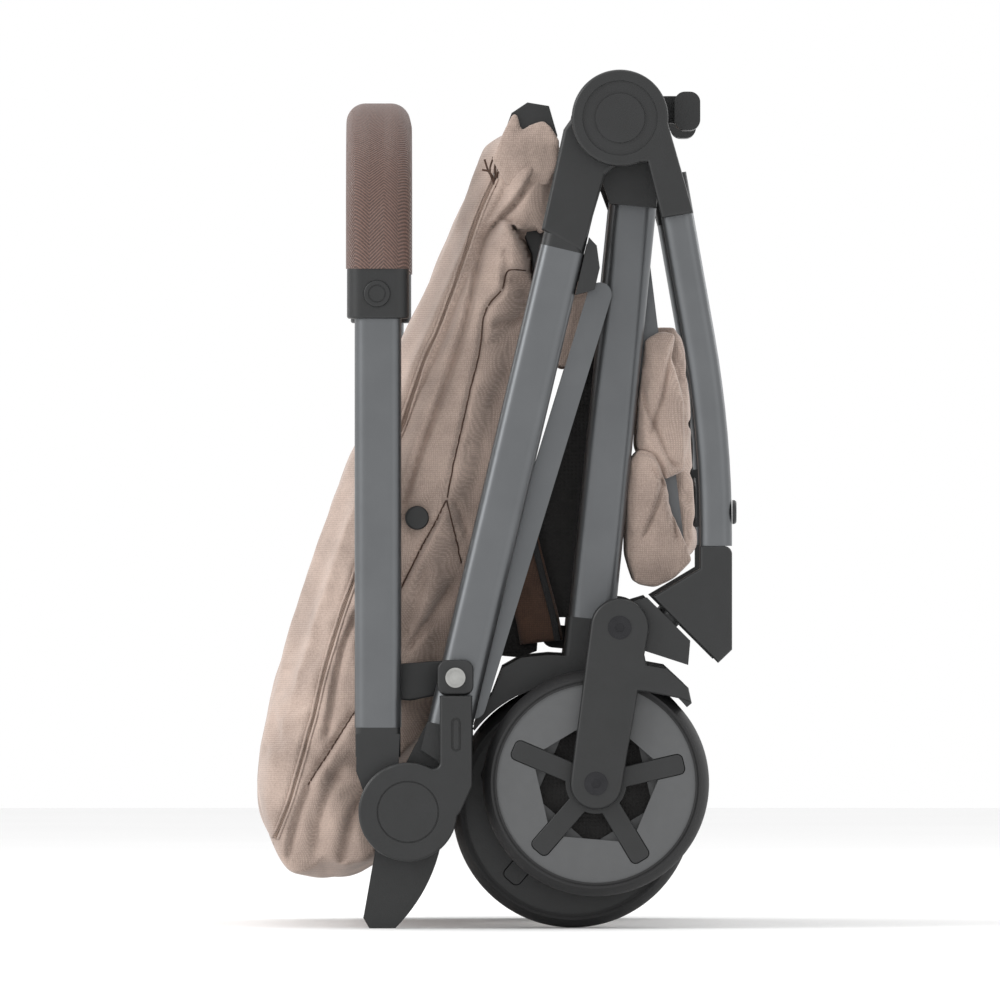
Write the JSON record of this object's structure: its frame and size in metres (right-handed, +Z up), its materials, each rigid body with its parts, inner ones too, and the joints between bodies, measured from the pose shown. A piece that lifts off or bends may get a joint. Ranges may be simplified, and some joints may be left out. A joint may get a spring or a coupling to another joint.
{
  "type": "folding baby stroller",
  "caption": "Compact baby stroller folded upright: U-shaped push handle, folded taupe canopy and seat, jointed legs, front casters and rear wheels.",
  "frame": {"origin": "on the floor, in the middle of the folded package", "axes": "+X front, +Y left-hand side, +Z up"},
  "size_m": [0.2937, 0.45, 0.5331],
  "materials": {
    "anodised_tube": "satin anodised, dark grey",
    "black_plastic": "fine moulded grain",
    "steel": "zinc plated",
    "black_bolt": "gloss black oxide",
    "tyre": "moulded foam rubber",
    "rim_grey": "satin moulded",
    "leatherette": "embossed",
    "taupe_fabric": "woven melange",
    "dark_mesh": "knitted mesh"
  },
  "bodies": {
    "hub_core": {"hub_axle": "steel", "hub_cross_tube": "steel", "hub_tabs": "black_plastic"},
    "rear_frame": {"rear_top_fittings": "black_plastic", "rear_tubes": "anodised_tube", "rear_feet": "black_plastic", "rear_axle": "steel", "rear_crossbeam": "black_plastic", "basket": "dark_mesh"},
    "front_frame": {"front_arm_right": "black_plastic", "front_arm_left": "black_plastic", "front_tubes": "anodised_tube", "front_feet": "black_plastic", "front_knobs": "black_plastic", "front_crossbar": "steel"},
    "seat": {"seat_arms": "anodised_tube", "seat_board": "black_plastic", "seat_pad": "taupe_fabric", "harness_buckle": "black_plastic"},
    "pushbar": {"pushbar_top_fittings": "black_plastic", "pushbar_tubes": "anodised_tube", "pushbar_end_fittings": "black_plastic", "hinge_knuckles": "black_plastic", "hinge_pins": "steel", "storage_feet": "black_plastic", "canopy_brackets": "black_plastic", "bracket_screws": "steel", "strap_clips": "black_plastic", "back_struts": "anodised_tube", "back_crossbar": "steel", "backrest": "taupe_fabric"},
    "handle": {"handle_end_fittings": "black_plastic", "handle_tubes": "anodised_tube", "handle_collars": "black_plastic", "handle_grip": "leatherette"},
    "canopy": {"canopy": "taupe_fabric", "canopy_rim": "black_plastic", "canopy_snaps": "black_plastic"},
    "brake": {"brake_pedal": "black_plastic"},
    "caster_right": {"caster_block_right": "black_plastic"},
    "fork_right": {"fork_right": "black_plastic", "fork_bolts_right": "black_bolt"},
    "front_wheel_right": {"front_wheel_tyre_right": "tyre", "front_wheel_rim_right": "rim_grey", "front_wheel_spokes_right": "black_plastic"},
    "rear_wheel_right": {"rear_wheel_tyre_right": "tyre", "rear_wheel_rim_right": "black_plastic", "rear_wheel_spokes_right": "black_plastic"},
    "button_right": {"handle_button_right": "black_plastic"},
    "caster_left": {"caster_block_left": "black_plastic"},
    "fork_left": {"fork_left": "black_plastic", "fork_bolts_left": "black_bolt"},
    "front_wheel_left": {"front_wheel_tyre_left": "tyre", "front_wheel_rim_left": "rim_grey", "front_wheel_spokes_left": "black_plastic"},
    "rear_wheel_left": {"rear_wheel_tyre_left": "tyre", "rear_wheel_rim_left": "black_plastic", "rear_wheel_spokes_left": "black_plastic"},
    "button_left": {"handle_button_left": "black_plastic"}
  },
  "joints": [
    {"name": "pushbar_fold", "type": "hinge", "parent": "hub_core", "child": "pushbar", "pos_m": [0.0744, 0, 0.5031], "axis": [0, 1, 0], "range_deg": [0, 127]},
    {"name": "rear_leg_fold", "type": "hinge", "parent": "hub_core", "child": "rear_frame", "pos_m": [0.0744, 0, 0.5031], "axis": [0, 1, 0], "range_deg": [0, 42]},
    {"name": "front_leg_fold", "type": "hinge", "parent": "hub_core", "child": "front_frame", "pos_m": [0.0744, 0, 0.5031], "axis": [0, -1, 0], "range_deg": [0, 45.2]},
    {"name": "seat_fold", "type": "hinge", "parent": "hub_core", "child": "seat", "pos_m": [0.0744, 0, 0.5031], "axis": [0, -1, 0], "range_deg": [0, 85]},
    {"name": "handle_fold", "type": "hinge", "parent": "pushbar", "child": "handle", "pos_m": [-0.05717, 0, 0.07276], "axis": [0, -1, 0], "range_deg": [0, 163]},
    {"name": "canopy_open", "type": "hinge", "parent": "pushbar", "child": "canopy", "pos_m": [-0.05161, 0, 0.25511], "axis": [0, -1, 0], "range_deg": [0, 81.5]},
    {"name": "brake_press", "type": "hinge", "parent": "rear_frame", "child": "brake", "pos_m": [0.03329, 0, 0.18073], "axis": [0, -1, 0], "range_deg": [0, 18], "stiffness_Nm_per_rad": 0.6, "springref_deg": -28.65},
    {"name": "caster_swivel_right", "type": "hinge", "parent": "front_frame", "child": "caster_right", "pos_m": [0.1055, -0.2065, 0.1932], "axis": [0.7071, 0, 0.7071], "range_deg": [-8, 5]},
    {"name": "fork_suspension_right", "type": "hinge", "parent": "caster_right", "child": "fork_right", "pos_m": [0.0742, -0.2025, 0.1871], "axis": [0, -1, 0], "range_deg": [0, 5], "stiffness_Nm_per_rad": 30, "springref_deg": -5.73},
    {"name": "front_wheel_roll_right", "type": "hinge", "parent": "fork_right", "child": "front_wheel_right", "pos_m": [0.05958, -0.2025, 0.0904], "axis": [0, 1, 0], "continuous": true},
    {"name": "rear_wheel_roll_right", "type": "hinge", "parent": "rear_frame", "child": "rear_wheel_right", "pos_m": [0.0453, -0.1575, 0.075], "axis": [0, 1, 0], "continuous": true},
    {"name": "button_press_right", "type": "slide", "parent": "handle", "child": "button_right", "axis": [0, 1, 0], "range_m": [0, 0.003], "stiffness_N_per_m": 400, "springref_m": -0.001},
    {"name": "caster_swivel_left", "type": "hinge", "parent": "front_frame", "child": "caster_left", "pos_m": [0.1055, 0.2065, 0.1932], "axis": [0.7071, 0, 0.7071], "range_deg": [-5, 8]},
    {"name": "fork_suspension_left", "type": "hinge", "parent": "caster_left", "child": "fork_left", "pos_m": [0.0742, 0.2025, 0.1871], "axis": [0, -1, 0], "range_deg": [0, 5], "stiffness_Nm_per_rad": 30, "springref_deg": -5.73},
    {"name": "front_wheel_roll_left", "type": "hinge", "parent": "fork_left", "child": "front_wheel_left", "pos_m": [0.05958, 0.2025, 0.0904], "axis": [0, 1, 0], "continuous": true},
    {"name": "rear_wheel_roll_left", "type": "hinge", "parent": "rear_frame", "child": "rear_wheel_left", "pos_m": [0.0453, 0.1575, 0.075], "axis": [0, 1, 0], "continuous": true},
    {"name": "button_press_left", "type": "slide", "parent": "handle", "child": "button_left", "axis": [0, -1, 0], "range_m": [0, 0.003], "stiffness_N_per_m": 400, "springref_m": -0.001}
  ],
  "couplings": [
    {"joint": "rear_leg_fold", "follows": "pushbar_fold", "ratio": 0.328},
    {"joint": "front_leg_fold", "follows": "pushbar_fold", "ratio": 0.354},
    {"joint": "seat_fold", "follows": "pushbar_fold", "ratio": 0.669},
    {"joint": "canopy_open", "follows": "handle_fold", "ratio": 0.5}
  ]
}
